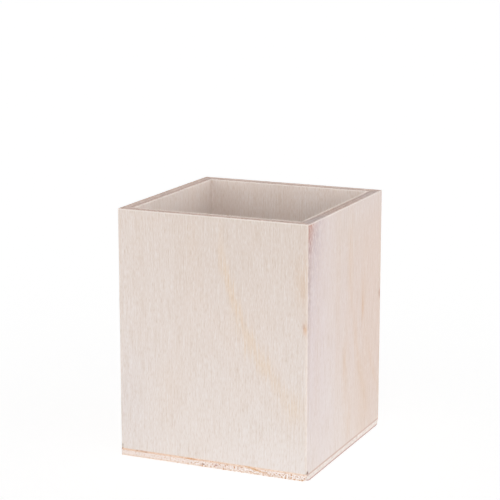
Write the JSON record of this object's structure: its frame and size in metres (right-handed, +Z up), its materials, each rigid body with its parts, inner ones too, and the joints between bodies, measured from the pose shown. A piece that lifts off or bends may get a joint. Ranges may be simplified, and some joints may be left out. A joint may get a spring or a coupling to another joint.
{
  "type": "pencil holder",
  "caption": "Open-topped square plywood cup with mitred walls glued to a flat base, which stands pencils and pens upright on a desk.",
  "frame": {"origin": "on the table, under the middle of the base", "axes": "+Z up, out of the open top; the front wall faces -Y and +X is to its right"},
  "size_m": [0.08, 0.08, 0.1],
  "materials": {
    "wall_veneer": "raw sanded plywood veneer, upright grain",
    "wall_core": "raw sanded plywood core, level grain",
    "base_veneer": "raw sawn plywood veneer, grain from side to side",
    "base_core": "raw sawn plywood core, grain from front to back"
  },
  "bodies": {
    "root": {"front_outer_veneer": "wall_veneer", "front_core": "wall_core", "front_inner_veneer": "wall_veneer", "right_outer_veneer": "wall_veneer", "right_core": "wall_core", "right_inner_veneer": "wall_veneer", "back_outer_veneer": "wall_veneer", "back_core": "wall_core", "back_inner_veneer": "wall_veneer", "left_outer_veneer": "wall_veneer", "left_core": "wall_core", "left_inner_veneer": "wall_veneer", "base_lower_veneer": "base_veneer", "base_core": "base_core", "base_upper_veneer": "base_veneer"}
  },
  "joints": []
}
